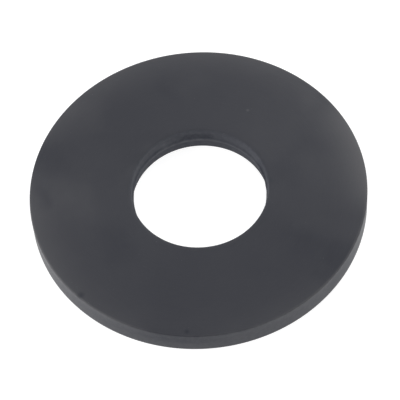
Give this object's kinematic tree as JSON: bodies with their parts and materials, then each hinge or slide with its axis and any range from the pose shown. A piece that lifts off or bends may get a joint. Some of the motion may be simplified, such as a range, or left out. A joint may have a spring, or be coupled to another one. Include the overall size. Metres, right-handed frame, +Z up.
{
  "type": "rubber sealing washer",
  "caption": "Flat round rubber sealing washer with a concentric bore, soft rim edges and a low moulding ridge at mid-height inside the bore.",
  "frame": {"origin": "centre of the underside, on the bore's axis", "axes": "+Z up along the bore's axis; the ring is the same all the way round, so +X and +Y are any two directions across it"},
  "size_m": [0.063, 0.063, 0.005],
  "materials": {
    "ring_rubber": "matte dark slate-grey moulded rubber with a faint concentric grain"
  },
  "bodies": {
    "root": {"sealing_ring": "ring_rubber"}
  },
  "joints": []
}
